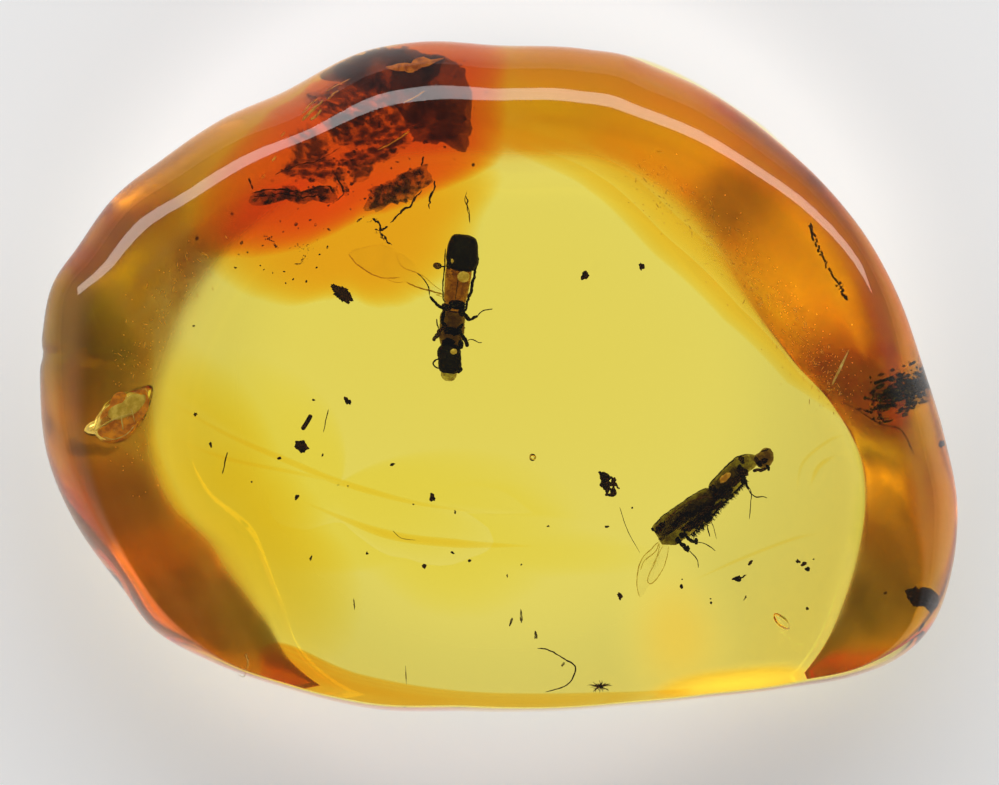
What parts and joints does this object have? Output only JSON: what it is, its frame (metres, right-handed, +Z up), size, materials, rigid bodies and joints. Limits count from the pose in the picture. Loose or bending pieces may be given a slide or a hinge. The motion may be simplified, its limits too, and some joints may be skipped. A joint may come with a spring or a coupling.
{
  "type": "insect in amber",
  "caption": "Hand-polished nugget of clear yellow amber with beetles and debris sealed inside, lying on its flat back.",
  "frame": {"origin": "on the resting plane, under the centre of the bounding box", "axes": "+Z up through the thickness, out of the polished front; +X along the length; +Y across the width, towards the edge with the dark debris"},
  "size_m": [0.0284, 0.0208, 0.0077],
  "materials": {
    "amber": "polished",
    "chitin": "satin",
    "wing_membrane": "polished",
    "plant_debris": "matte",
    "air_bubble": "polished"
  },
  "bodies": {
    "root": {"amber_nugget": "amber"}
  },
  "joints": []
}
